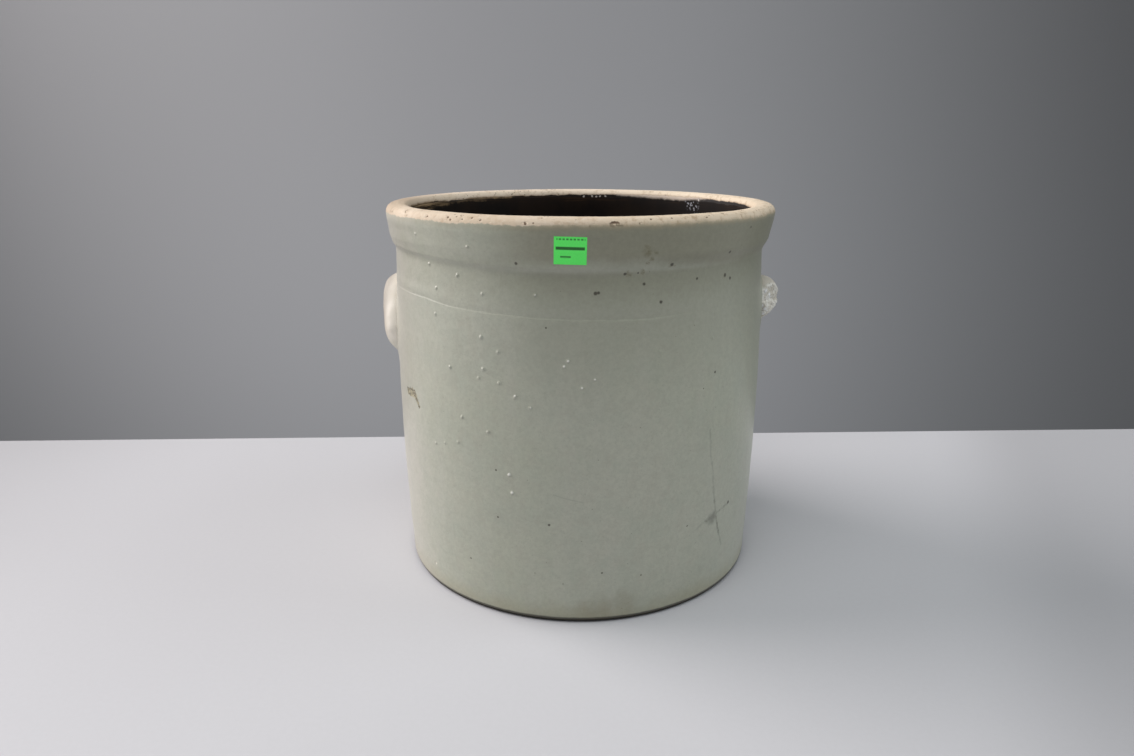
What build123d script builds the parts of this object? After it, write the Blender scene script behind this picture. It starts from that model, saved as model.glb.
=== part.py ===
"""Four gallon stoneware crock: a thrown clay pot with a heavy collar, two applied arched lug
handles, a pale glaze coat outside, a dark slip lining inside and a small paper price label.

Millimetres. +Z is up, the origin is the centre of the base and +X runs through the right lug.
The front of the pot, with the label, faces -Y.
"""

import os
from math import atan2, cos, radians, sin

from build123d import *

# Pot, measured on the bare clay
height = 281.5
belly_radius = 142.4
belly_height = 130.0  # up from the base
foot_tuck = 3.2  # how far the foot lies within the belly
foot_round = 3.0  # rounded edge where the wall meets the base
neck_tuck = 3.2  # how far the neck, under the collar, lies within the belly
collar_reach = 6.7  # from the neck out to the collar face, carried up to the rim top
collar_foot_reach = 4.0  # from the neck out to the foot of the collar face
collar_face_drop = 22.0  # down from the rim top to the foot of the collar face
collar_height = 36.0  # down from the rim top to the neck, where the collar has died out
wall = 10.5
floor_thickness = 14.0
floor_corner = 18.0  # inside radius between floor and wall
rim_round = 5.8  # rounded outer edge of the rim
rim_inner_round = 2.0
cut_overrun = 1.0  # how far the hollow's cutting shape passes the rim

# Glaze coats
glaze_thickness = 0.6  # pale coat outside, measured from the clay
coat_gap = 0.05  # between the clay and the pale coat, which are separate solids
bare_rim = 5.0  # bare clay outside, down from the rim top, as pots were stacked rim to rim
bare_foot = 3.0  # bare clay outside, up from the base
lining_thickness = 0.5  # dark slip coat inside
bare_lip = 4.0  # bare clay inside, down from the rim top

# Lug handles, each a roll of clay bent into an arch and pressed on to the wall
lug_drop = 57.0  # down from the rim top to the top of the arch
lug_half_span = 33.0  # from the crown of the arch to the middle of an arm, along the wall
lug_droop = 27.0  # how far the arms fall below the crown
lug_bar = 25.0  # thickness of the roll at the crown, measured up the wall
lug_arm_bar = 25.0  # thickness of the roll at the arms
lug_reach = 14.6  # how far the crown stands out from the wall
lug_arm_reach = 11.0  # how far the arms stand out
lug_tip_run = 9.0  # from the middle of an arm to its tip, which is smeared into the wall
lug_tip_bar = 11.0  # thickness of the tip
lug_tip_depth = 5.0  # half depth of the tip, which lies within the wall
break_offset = 20.0  # from the crown of the right lug to where its broken face meets the wall
break_turn = 46.0  # degrees that the broken face turns outwards from straight ahead
break_lean = 15.0  # degrees that the broken face looks down

# Price label on the front of the collar
label_width = 20.0
label_height = 17.0
label_thickness = 0.15
label_drop = 20.5  # down from the rim top to the middle of the label
label_azimuth = -88.0  # degrees about the pot from +X
label_tilt = 1.5  # degrees clockwise, as seen from outside

# Worked out from the sizes above
foot_radius = belly_radius - foot_tuck
neck_radius = belly_radius - neck_tuck
neck_height = height - collar_height
collar_radius = neck_radius + collar_reach
collar_foot_radius = neck_radius + collar_foot_reach
lug_crown = height - lug_drop - lug_bar / 2  # height of the middle of the roll at the crown
left, right = 180.0, 0.0  # azimuths of the two lugs


def wall_radius(z):
    """Outside radius of the clay wall at a height, on the shallow curve through foot, belly and neck."""
    foot_share = (z - belly_height) * (z - neck_height)
    foot_share /= (foot_round - belly_height) * (foot_round - neck_height)
    belly_share = (z - foot_round) * (z - neck_height)
    belly_share /= (belly_height - foot_round) * (belly_height - neck_height)
    neck_share = (z - foot_round) * (z - belly_height)
    neck_share /= (neck_height - foot_round) * (neck_height - belly_height)
    return foot_radius * foot_share + belly_radius * belly_share + neck_radius * neck_share


def outside_outline(coat):
    """Half outline of the outside of the pot, grown outwards by a coat."""
    foot = foot_radius + coat
    neck = Vector(neck_radius + coat, neck_height)
    face_foot = Vector(collar_foot_radius + coat, height - collar_face_drop)
    base = Line((0, 0), (foot - foot_round, 0))
    foot_edge = TangentArc(base @ 1, (foot, foot_round), tangent=base % 1)
    Spline(foot_edge @ 1, (belly_radius + coat, belly_height), neck)
    hollow = TangentArc(neck, (neck + face_foot) / 2, tangent=(0, 1))
    TangentArc(hollow @ 1, face_foot, tangent=hollow % 1)
    rim_corner = (collar_radius + coat, height + coat)
    FilletPolyline(face_foot, rim_corner, (0, height + coat), radius=rim_round + coat)
    Line((0, height + coat), (0, 0))


def inside_outline(coat):
    """Half outline of the hollow, shrunk by a coat on its floor and wall."""
    floor = floor_thickness + coat
    corner = floor_corner - coat
    foot = foot_radius - wall - coat
    neck = neck_radius - wall - coat
    bottom = Line((0, floor), (foot - corner, floor))
    corner_arc = TangentArc(bottom @ 1, (foot, floor + corner), tangent=bottom % 1)
    Spline(corner_arc @ 1, (belly_radius - wall - coat, belly_height), (neck, neck_height))
    mouth = height + cut_overrun
    Polyline((neck, neck_height), (neck, mouth), (0, mouth), (0, floor))


def turned(outline, coat):
    """Solid turned about +Z from a half outline."""
    with BuildPart() as form:
        with BuildSketch(Plane.XZ):
            with BuildLine():
                outline(coat)
            make_face()
        revolve(axis=Axis.Z)
    return form.part


def lug_arch(azimuth):
    """Loft of the roll of one lug along its arch, with its middle at an azimuth of the wall."""
    shoulder_bar = (lug_bar + lug_arm_bar) / 2
    shoulder_reach = (2 * lug_reach + lug_arm_reach) / 3
    half = [
        (lug_half_span / 2, shoulder_bar, shoulder_reach, 0),
        (lug_half_span, lug_arm_bar, lug_arm_reach, 0),
        (lug_half_span + lug_tip_run, lug_tip_bar, lug_tip_depth, lug_tip_depth),
    ]
    front_half = [(-along, bar, reach, sink) for along, bar, reach, sink in reversed(half)]
    sections = []
    for along, bar, reach, sink in front_half + [(0, lug_bar, lug_reach, 0)] + half:
        z = lug_crown - lug_droop * (along / lug_half_span) ** 2
        slope = atan2(-2 * lug_droop * along, lug_half_span**2)
        angle = radians(azimuth) + along / wall_radius(lug_crown)
        outward = Vector(cos(angle), sin(angle), 0)
        sideways = Vector(-sin(angle), cos(angle), 0)
        forward = sideways * cos(slope) + Vector(0, 0, sin(slope))
        middle = outward * (wall_radius(z) - sink) + Vector(0, 0, z)
        with BuildSketch(Plane(middle, x_dir=outward, z_dir=forward)) as section:
            Ellipse(reach, bar / 2)
        sections.append(section.sketch)
    loft(sections)


# Solid forms that the pieces are cut from
bare_form = turned(outside_outline, 0)
coat_seat_form = turned(outside_outline, coat_gap)
glazed_form = turned(outside_outline, glaze_thickness)
labelled_form = turned(outside_outline, glaze_thickness + label_thickness)
hollow_form = turned(inside_outline, 0)
lined_hollow_form = turned(inside_outline, lining_thickness)

# Thrown clay pot: floor, wall and collar
with BuildPart() as crock_body:
    add(bare_form)
    add(hollow_form, mode=Mode.SUBTRACT)
    rim_edges = crock_body.edges().filter_by(GeomType.CIRCLE).group_by(Axis.Z)[-1]
    fillet(rim_edges.sort_by(SortBy.RADIUS)[0], rim_inner_round)

# Dark slip lining, on the floor and up the wall to the bare lip
with BuildPart() as inner_glaze:
    add(hollow_form)
    split(bisect_by=Plane.XY.offset(height - bare_lip), keep=Keep.BOTTOM)
    add(lined_hollow_form, mode=Mode.SUBTRACT)

# Whole lug, seated on the clay
with BuildPart() as left_lug:
    lug_arch(left)
    add(bare_form, mode=Mode.SUBTRACT)

# Broken lug: its front arm is gone, and the broken face looks forward, outward and down
broken_face = Plane((wall_radius(lug_crown), -break_offset, lug_crown), x_dir=(1, 0, 0), z_dir=(0, 1, 0))
broken_face = broken_face.rotated((break_lean, 0, break_turn))
with BuildPart() as right_lug:
    lug_arch(right)
    add(bare_form, mode=Mode.SUBTRACT)
    split(bisect_by=broken_face, keep=Keep.TOP)

# Pale glaze coat, cut away where the lugs meet the clay
with BuildPart() as outer_glaze:
    add(glazed_form)
    split(bisect_by=Plane.XY.offset(height - bare_rim), keep=Keep.BOTTOM)
    split(bisect_by=Plane.XY.offset(bare_foot), keep=Keep.TOP)
    add(coat_seat_form, mode=Mode.SUBTRACT)
    add(left_lug.part, mode=Mode.SUBTRACT)
    add(right_lug.part, mode=Mode.SUBTRACT)

# Price label, following the glazed collar
label_facing = Vector(cos(radians(label_azimuth)), sin(radians(label_azimuth)), 0)
label_across = Vector(-label_facing.Y, label_facing.X, 0)
label_plane = Plane((0, 0, height - label_drop), x_dir=label_across, z_dir=label_facing)
with BuildPart() as paper_label:
    with BuildSketch(label_plane):
        Rectangle(label_width, label_height, rotation=-label_tilt)
    extrude(amount=2 * collar_radius)
    add(labelled_form, mode=Mode.INTERSECT)
    add(glazed_form, mode=Mode.SUBTRACT)

pieces = {
    "crock_body": crock_body,
    "outer_glaze": outer_glaze,
    "inner_glaze": inner_glaze,
    "left_lug": left_lug,
    "right_lug": right_lug,
    "paper_label": paper_label,
}
os.makedirs("parts", exist_ok=True)
for name, piece in pieces.items():
    piece.part.label = name
    export_step(piece.part, f"parts/{name}.step")
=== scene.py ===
import bmesh
import bpy
import math
import random
from functools import lru_cache
from mathutils import Matrix, Vector, noise
from mathutils.bvhtree import BVHTree
from mathutils.kdtree import KDTree


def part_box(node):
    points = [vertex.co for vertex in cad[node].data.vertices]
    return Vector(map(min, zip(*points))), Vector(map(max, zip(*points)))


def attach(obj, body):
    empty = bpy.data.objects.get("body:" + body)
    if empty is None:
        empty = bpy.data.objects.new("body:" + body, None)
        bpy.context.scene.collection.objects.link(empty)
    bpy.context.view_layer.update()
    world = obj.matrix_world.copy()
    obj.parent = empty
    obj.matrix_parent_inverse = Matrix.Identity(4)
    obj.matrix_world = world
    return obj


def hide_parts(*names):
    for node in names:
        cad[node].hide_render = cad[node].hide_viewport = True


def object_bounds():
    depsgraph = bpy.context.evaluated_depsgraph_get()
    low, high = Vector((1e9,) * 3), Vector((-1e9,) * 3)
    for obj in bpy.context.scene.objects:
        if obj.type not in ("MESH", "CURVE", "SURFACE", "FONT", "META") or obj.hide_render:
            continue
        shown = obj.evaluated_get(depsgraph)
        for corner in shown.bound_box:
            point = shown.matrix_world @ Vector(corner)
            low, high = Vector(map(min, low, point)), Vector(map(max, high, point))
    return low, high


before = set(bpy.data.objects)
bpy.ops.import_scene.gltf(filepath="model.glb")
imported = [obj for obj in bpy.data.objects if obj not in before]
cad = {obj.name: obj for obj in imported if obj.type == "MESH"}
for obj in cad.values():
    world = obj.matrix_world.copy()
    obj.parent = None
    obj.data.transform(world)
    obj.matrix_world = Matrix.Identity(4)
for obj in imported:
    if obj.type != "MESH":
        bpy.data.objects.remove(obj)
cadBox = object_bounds()  # the CAD box, before anything is dressed
potSurface = BVHTree.FromObject(cad["crock_body"], bpy.context.evaluated_depsgraph_get())
rimTop = cadBox[1].z
fullTurn = 2 * math.pi
print("frame loaded, pot is", round(rimTop * 1000, 1), "mm high")


# photograph's camera

photo = {
    "width": 1134, "height": 756,  # pixels
    "focal": 787,  # pixels
    "sensor": 36,  # mm
    "distance": 0.6186, "eye": 0.3253,  # from the pot's axis, and above the floor
    "around": 4.0,  # degrees round the pot from straight in front
    "turn": 0.86, "tilt": 16.88, "roll": -0.14,  # degrees
}


def addCamera(settings):
    around = math.radians(settings["around"])
    place = Vector((math.sin(around), -math.cos(around), 0)) * settings["distance"]
    place.z = settings["eye"]
    turned = Matrix.Rotation(around + math.radians(settings["turn"]), 3, "Z")
    turned = turned @ Matrix.Rotation(math.radians(90 - settings["tilt"]), 3, "X")
    turned = turned @ Matrix.Rotation(math.radians(settings["roll"]), 3, "Z")
    bpy.ops.object.camera_add(location=place, rotation=turned.to_euler())
    camera = bpy.context.object
    camera.data.sensor_width = settings["sensor"]
    camera.data.lens = settings["focal"] / settings["width"] * settings["sensor"]
    bpy.context.scene.camera = camera
    bpy.context.view_layer.update()
    return camera


camera = addCamera(photo)


def sightLine(pixel):  # direction from the camera through a pixel of the photograph
    right = (pixel[0] - photo["width"] / 2) / photo["focal"]
    up = (photo["height"] / 2 - pixel[1]) / photo["focal"]
    return (camera.matrix_world.to_3x3() @ Vector((right, up, -1))).normalized()


def seenOn(piece, pixel):  # where a pixel falls on a piece
    hit, place, normal, face = piece.ray_cast(camera.location, sightLine(pixel))
    if not hit:
        raise ValueError(f"pixel {pixel} misses {piece.name}")
    return place


def seenEach(piece, pixels):
    return [seenOn(piece, pixel) for pixel in pixels]


def seenMarks(piece, marks):  # marks of x, y and a value become places and values
    return [(seenOn(piece, (x, y)), value) for x, y, value in marks]


def seenOnFloor(pixel):
    line = sightLine(pixel)
    return camera.location - line * (camera.location.z / line.z)


print("camera set")


# shader helpers

class Wire:  # a node's output, which can be used in sums
    def __init__(self, finish, socket):
        self.finish = finish
        self.socket = socket

    def math(self, operation, *values):
        return self.finish.node("ShaderNodeMath", {"operation": operation}, dict(enumerate(values)))

    def __add__(self, other):
        return self.math("ADD", self, other)

    def __sub__(self, other):
        return self.math("SUBTRACT", self, other)

    def __rsub__(self, other):
        return self.math("SUBTRACT", other, self)

    def __mul__(self, other):
        return self.math("MULTIPLY", self, other)

    __radd__ = __add__
    __rmul__ = __mul__

    def most(self, other):
        return self.math("MAXIMUM", self, other)

    def least(self, other):
        return self.math("MINIMUM", self, other)

    def fade(self, zero, one):  # 0 at one value, rising softly to 1 at the other
        inputs = {0: self, 1: zero, 2: one, 3: 0.0, 4: 1.0}
        return self.finish.node("ShaderNodeMapRange", {"interpolation_type": "SMOOTHSTEP"}, inputs)

    def paint(self, share, tone):  # lays a tone over this colour
        self.socket = self.finish.mix(share, self, tone).socket


class Finish:  # one material and its nodes
    def __init__(self, name):
        self.material = bpy.data.materials.new(name)
        self.material.use_nodes = True
        self.tree = self.material.node_tree
        self.tree.nodes.clear()
        self.place = self.node("ShaderNodeTexCoord", outlet="Object")
        self.x, self.y, self.height = [self.part(self.place, axis) for axis in range(3)]

    def node(self, kind, settings=None, inputs=None, outlet=0):
        made = self.tree.nodes.new(kind)
        for name, value in (settings or {}).items():
            setattr(made, name, value)
        for name, value in (inputs or {}).items():
            if isinstance(value, Wire):
                self.tree.links.new(value.socket, made.inputs[name])
            else:
                made.inputs[name].default_value = value
        return Wire(self, made.outputs[outlet]) if len(made.outputs) else made

    def mix(self, share, one, two):  # colours
        one, two = [c if isinstance(c, Wire) else (*c, 1.0) for c in (one, two)]
        return self.node("ShaderNodeMix", {"data_type": "RGBA"}, {0: share, 6: one, 7: two}, outlet=2)

    def vector(self, operation, one, two, outlet=0):
        return self.node("ShaderNodeVectorMath", {"operation": operation}, {0: one, 1: two}, outlet)

    def scaled(self, vector, amount):
        return self.node("ShaderNodeVectorMath", {"operation": "SCALE"}, {0: vector, "Scale": amount})

    def stretched(self, scale):  # object coordinates, scaled on each axis
        return self.node("ShaderNodeMapping", None, {"Vector": self.place, "Scale": scale})

    def cloud(self, scale, detail=2.0, place=None, rough=0.5, outlet=0):
        inputs = {"Vector": place or self.place, "Scale": scale, "Detail": detail, "Roughness": rough}
        return self.node("ShaderNodeTexNoise", None, inputs, outlet)

    def cells(self, scale, outlet=0):
        return self.node("ShaderNodeTexVoronoi", None, {"Vector": self.place, "Scale": scale}, outlet)

    def ragged(self, amount, scale):  # object coordinates, pushed about so that marks have ragged edges
        push = self.vector("SUBTRACT", self.cloud(scale, 3.0, outlet=1), (0.5, 0.5, 0.5))
        return self.vector("ADD", self.place, self.scaled(push, amount))

    def part(self, place, axis):  # one coordinate
        return self.node("ShaderNodeSeparateXYZ", None, {0: place}, outlet=axis)

    def spot(self, place, middle, radius, soft):  # 1 in a round mark, fading out over its soft edge
        away = self.vector("DISTANCE", place, tuple(middle), outlet=1)
        return away.fade(radius + soft, radius)

    def spots(self, place, marks, core, soft):  # round marks, given by middles and radii
        return union([self.spot(place, middle, r * core, r * soft) for middle, r in marks])

    def stroke(self, place, start, end, width):  # 1 between two points, fading out over its width
        along = end - start
        fromStart = self.vector("SUBTRACT", place, tuple(start))
        share = self.vector("DOT_PRODUCT", fromStart, tuple(along / along.length_squared), outlet=1)
        onLine = self.scaled(tuple(along), share.most(0.0).least(1.0))
        away = self.vector("DISTANCE", fromStart, onLine, outlet=1)
        return away.fade(width, width * 0.25)

    def line(self, place, points, width):  # strokes end to end
        return union([self.stroke(place, a, b, width) for a, b in zip(points, points[1:])])

    def bump(self, height, distance, strength):
        inputs = {"Height": height, "Distance": distance, "Strength": strength}
        return self.node("ShaderNodeBump", None, inputs)

    def surface(self, inputs):
        shader = self.node("ShaderNodeBsdfPrincipled", None, inputs)
        self.node("ShaderNodeOutputMaterial", None, {"Surface": shader})
        return self.material


def union(masks):
    total = masks[0]
    for mask in masks[1:]:
        total = total.most(mask)
    return total


# modelling helpers

def clamp(value):
    return min(1.0, max(0.0, value))


def eased(value):  # 0 to 1, slow at both ends
    value = clamp(value)
    return value * value * (3 - 2 * value)


def hump(value):  # 1 at 0, falling to 0 at 1 on both sides
    return max(0.0, 1 - value ** 2)


def bearing(co):  # angle round the pot, and the way out from its axis
    around = math.atan2(co.y, co.x)
    return around, Vector((math.cos(around), math.sin(around), 0))


def boxOf(piece):
    corners = [Vector(c) for c in piece.bound_box]
    return Vector(map(min, *corners)), Vector(map(max, *corners))


def inBox(co, box, margin):
    low, high = box
    return all(low[i] - margin < co[i] < high[i] + margin for i in range(3))


def treeOf(places):  # for finding the nearest
    tree = KDTree(len(places))
    for index, place in enumerate(places):
        tree.insert(place, index)
    tree.balance()
    return tree


def fresh():  # nothing selected, so that an operator only acts on what is made next
    bpy.ops.object.select_all(action="DESELECT")


def pick(piece):
    fresh()
    piece.select_set(True)
    bpy.context.view_layer.objects.active = piece


def editing(on):
    bpy.ops.object.mode_set(mode="EDIT" if on else "OBJECT")


def modify(piece, name, kind, settings):
    modifier = piece.modifiers.new(name, kind)
    for key, value in settings.items():
        setattr(modifier, key, value)
    bpy.ops.object.modifier_apply(modifier=modifier.name)


def mergeClose(piece):  # stays in edit mode
    pick(piece)
    editing(True)
    bpy.ops.mesh.select_all(action="SELECT")
    bpy.ops.mesh.remove_doubles(threshold=0.00001)


@lru_cache(None)
def wallRadius(z, start, heading):  # mean of three close heights, so that the CAD facets don't show
    total = 0.0
    for dz in (-0.001, 0, 0.001):
        place = potSurface.ray_cast(Vector((0, start, z + dz)), Vector((0, heading, 0)))[0]
        total += place.y
    return total / 3


def outsideAt(z):  # radius of the clay pot's outside
    return wallRadius(round(z, 5), 0.3, -1)


def insideAt(z):  # radius of the clay pot's inside
    return wallRadius(round(z, 5), 0, 1)


def arcPoints(middle, radius, fromAngle, toAngle, steps):  # degrees
    angles = [math.radians(fromAngle + (toAngle - fromAngle) * i / steps) for i in range(steps + 1)]
    return [(middle[0] + radius * math.cos(a), middle[1] + radius * math.sin(a)) for a in angles]


def evenly(start, end, step):  # values from start to end, about a step apart, both ends included
    count = max(1, round(abs(end - start) / step))
    return [start + (end - start) * i / count for i in range(count + 1)]


def turnOnWheel(name, outline, steps):  # outline of (radius, height), spun about Z
    fresh()
    bpy.ops.mesh.primitive_plane_add(size=0.01, location=(0, 0, 0))
    piece = bpy.context.object
    piece.name = piece.data.name = name
    editing(True)
    bpy.ops.mesh.select_mode(type="VERT")
    bpy.ops.mesh.select_all(action="SELECT")
    bpy.ops.mesh.merge(type="CENTER")
    bpy.ops.transform.translate(value=(0, *outline[0]))
    for here, there in zip(outline, outline[1:]):
        step = (0, there[0] - here[0], there[1] - here[1])
        bpy.ops.mesh.extrude_region_move(TRANSFORM_OT_translate={"value": step})
    editing(False)
    turning = {"axis": "Z", "angle": fullTurn, "steps": steps, "render_steps": steps}
    modify(piece, "wheel", "SCREW", {**turning, "use_merge_vertices": True})
    mergeClose(piece)
    bpy.ops.mesh.normals_make_consistent(inside=False)
    editing(False)
    bpy.ops.object.shade_smooth()
    return piece


def moveEach(piece, place):  # every vertex goes to where the function puts it
    moved = [place(vertex) for vertex in piece.data.vertices]
    for vertex, co in zip(piece.data.vertices, moved):
        vertex.co = co
    piece.data.update()
    bpy.context.view_layer.update()


def refine(piece, chosen, cuts):  # more faces where the function says so
    pick(piece)
    editing(True)
    bpy.ops.mesh.select_all(action="DESELECT")
    bpy.ops.mesh.select_mode(type="FACE")
    mesh = bmesh.from_edit_mesh(piece.data)
    for face in mesh.faces:
        if chosen(face):
            face.select_set(True)
    bmesh.update_edit_mesh(piece.data)
    bpy.ops.mesh.subdivide(number_cuts=cuts)
    editing(False)
    bpy.ops.object.shade_smooth()


def refineNear(piece, places, reach, cuts):
    tree = treeOf(places)
    refine(piece, lambda face: tree.find(face.calc_center_median())[2] < reach, cuts)


def dress(piece, node, material):  # the piece stands for a CAD node and rides on the pot
    piece.data.materials.clear()
    piece.data.materials.append(material)
    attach(piece, "root")
    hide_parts(node)
    print(piece.name, "dressed,", len(piece.data.polygons), "faces")


# hand of the thrower: what is uneven in the whole pot

throwing = {
    "outOfRound": 0.00022,
    "sunk": 0.00075,  # rim top under the CAD height
    "rimTilt": 0.0005, "rimWave": 0.00025,  # it is higher on the left
    "neck": 0.2445,  # the collar starts here
    "step": (0.2445, 0.2502),  # heights of the foot and top of the step under the collar
    "stepReach": 0.014, "stepFades": 0.6,  # what moves with it up and down, and where it starts to die out
    "face": 0.2595, "lean": 0.151,  # the collar face leans out; its foot on the CAD pot
    "uphill": 0.0046, "uphillTo": -160,  # the step climbs this far, towards this side in degrees
    "flare": 0.0022,  # the rim spreads on the right, where the step dies out
    "stillFloor": 0.1,  # radius within which the floor keeps its place
    "skin": 0.004,  # what lies this far out from the inner wall is the outside
}


def thrownAt(z):  # outside of the clay, with a crisper step under the collar than the CAD pot's
    low, high = throwing["step"]
    if z <= low or z >= throwing["face"]:
        return outsideAt(z)
    slant = outsideAt(throwing["face"]) - (throwing["face"] - z) * throwing["lean"]
    share = eased((z - low) / (high - low))
    return outsideAt(low) * (1 - share) + slant * share


def sway(vertex):
    co = vertex.co
    around, out = bearing(co)
    neck = throwing["neck"]
    share = eased((co.z - neck) / (rimTop - neck))
    wave = noise.noise(Vector((out.x * 2.2, out.y * 2.2, 4.0)))
    lift = -throwing["sunk"] - throwing["rimTilt"] * out.x + throwing["rimWave"] * wave
    climb = max(0.0, math.cos(around - math.radians(throwing["uphillTo"]))) ** 3
    nearStep = hump((co.z - sum(throwing["step"]) / 2) / throwing["stepReach"]) ** 2
    rise = lift * share + throwing["uphill"] * climb * nearStep
    wobble = noise.noise(Vector((out.x * 1.1, out.y * 1.1, co.z * 9))) - 1
    spread = throwing["outOfRound"] * wobble * clamp(co.xy.length / throwing["stillFloor"])
    spread += throwing["flare"] * share * max(0.0, out.x) ** 2
    if neck < co.z < throwing["face"] and co.xy.length > insideAt(co.z) + throwing["skin"]:
        spread += (outsideAt(co.z) - thrownAt(co.z)) * clamp(out.x / throwing["stepFades"])
    return co + out * spread + Vector((0, 0, rise))


# bare clay pot

clayPot = {
    "steps": 384,
    "footRound": 0.003, "floorCorner": 0.018,
    "outerRound": 0.0058, "innerRound": 0.005,  # rim edges
    "crown": 0.0004,  # the rim top falls this far from its middle to its edges
    "grit": 0.00022, "gritSize": 0.0016, "gritDown": 0.014,  # down from the rim top
    "chipSpread": 1.6,  # a chip's sides run out at this many radii
    "chipReach": 0.003,  # finer faces round it
    "underGlaze": 0.0004,  # the clay keeps below the relief of the glaze that hides it
    "chips": [  # pixel, radius and depth
        ((612, 223.4), 0.0010, 0.0006), ((614, 222.7), 0.0009, 0.0006), ((616.5, 223.2), 0.0008, 0.0005),
        ((619, 225.3), 0.0010, 0.0006), ((621.5, 226), 0.0007, 0.0004), ((590, 227), 0.0010, 0.0004),
        ((723, 213), 0.0012, 0.0006), ((448, 217), 0.0010, 0.0006), ((450, 219.5), 0.0009, 0.0006),
        ((427, 216), 0.0009, 0.0005), ((472, 217.5), 0.0009, 0.0005), ((480, 220), 0.0009, 0.0005),
        ((525, 223.5), 0.0011, 0.0005), ((462, 219), 0.0008, 0.0005), ((405, 212), 0.0007, 0.0004),
        ((651, 219), 0.0008, 0.0005), ((672, 218), 0.0007, 0.0004), ((707, 217), 0.0009, 0.0004),
        ((640, 223.5), 0.0008, 0.0004),
    ],
    "nick": [[(610.5, 224.2), (612.5, 222.9), (615, 222.4), (618.5, 223.2)], [(617, 225.4), (622, 226.4)],
             [(611, 225.8), (614, 226.8)]],  # brown lines round a flake
}


def clayOutline(settings):
    foot = settings["footRound"]
    corner = settings["floorCorner"]
    baseEdge = outsideAt(foot + 0.002) - foot
    outline = [(r, 0.0) for r in (0.0, 0.03, 0.06, 0.09, 0.115, 0.13)]  # underside
    outline += arcPoints((baseEdge, foot), foot, -90, 0, 8)
    hidden = evenly(0.016, 0.242, 0.005) + evenly(0.244, 0.262, 0.0012)  # finer at the step
    outline += [(thrownAt(z), z) for z in (0.006, 0.011)]
    outline += [(thrownAt(z) - settings["underGlaze"], z) for z in hidden]
    outline += [(thrownAt(z), z) for z in evenly(0.264, rimTop - 0.012, 0.003)]

    low, high = rimTop - 0.02, rimTop - 0.008  # the collar face is straight between these
    lean = math.atan((outsideAt(high) - outsideAt(low)) / (high - low))
    radius = settings["outerRound"]
    middleZ = rimTop - radius
    face = outsideAt(low) + (middleZ - low) * math.tan(lean)
    middleR = face - radius / math.cos(lean)
    straight = evenly(rimTop - 0.011, middleZ - 0.0014, 0.0008)
    outline += [(face - (middleZ - z) * math.tan(lean), z) for z in straight]
    outline += arcPoints((middleR, middleZ), radius, -math.degrees(lean), 90, 14)

    mouth = insideAt(rimTop - 0.012)
    inner = settings["innerRound"]
    topEdge = mouth + inner
    outline += [(r, rimTop) for r in evenly(middleR, topEdge, 0.0008)[1:-1]]
    outline += arcPoints((topEdge, rimTop - inner), inner, 90, 180, 10)
    outline += [(mouth, z) for z in evenly(rimTop - inner - 0.001, rimTop - 0.012, 0.0012)]

    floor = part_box("inner_glaze")[0].z
    wallFoot = insideAt(floor + corner + 0.004)
    outline += [(insideAt(z), z) for z in evenly(rimTop - 0.02, floor + corner + 0.004, 0.012)]
    outline += arcPoints((wallFoot - corner, floor + corner), corner, 0, -90, 6)
    outline += [(0.06, floor), (0.0, floor)]

    half = (middleR - topEdge) / 2
    crowned = []
    for r, z in outline:
        if z > rimTop - 0.001 and topEdge <= r <= middleR:
            z -= settings["crown"] * ((r - topEdge - half) / half) ** 2
        elif z > middleZ - 0.001:
            z -= settings["crown"] * max(0.0, (z - middleZ) / radius)
        crowned.append((r, z))
    return crowned


def makeClayPot(settings):
    piece = turnOnWheel("crock_body_clay", clayOutline(settings), settings["steps"])
    moveEach(piece, sway)
    chips = [(seenOn(piece, pixel), radius, depth) for pixel, radius, depth in settings["chips"]]
    refineNear(piece, [place for place, radius, depth in chips], settings["chipReach"], 2)

    def chipped(vertex):
        co = vertex.co
        sink = 0.0
        if co.z > rimTop - settings["gritDown"]:
            sink += settings["grit"] * noise.turbulence(co / settings["gritSize"], 3, True)
        for place, radius, depth in chips:
            away = (co - place).length / (radius * settings["chipSpread"])
            if away < 1:
                sink += depth * hump(away) * (0.7 + 0.6 * noise.noise(co * 1500))
        return co - vertex.normal * sink

    moveEach(piece, chipped)
    return piece, [(place, radius) for place, radius, depth in chips]


clayPiece, rimChips = makeClayPot(clayPot)
rimNick = [seenEach(clayPiece, line) for line in clayPot["nick"]]
print("clay pot thrown")


clayTones = {  # bare clay, and what lies on it
    "tan": (0.735, 0.61, 0.47), "brown": (0.66, 0.53, 0.385), "sand": (0.82, 0.74, 0.62),
    "leftEnd": (0.48, 0.375, 0.275), "back": (0.94, 0.80, 0.64), "right": (0.84, 0.71, 0.52),
    "blotch": (0.52, 0.385, 0.25), "pit": (0.17, 0.105, 0.06), "nick": (0.11, 0.056, 0.028),
    "grime": (0.36, 0.27, 0.17), "wash": (0.38, 0.31, 0.20), "slipEdge": (0.30, 0.18, 0.09),
    "underneath": (0.30, 0.235, 0.16), "foot": (0.014, 0.015, 0.012),
}


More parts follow.
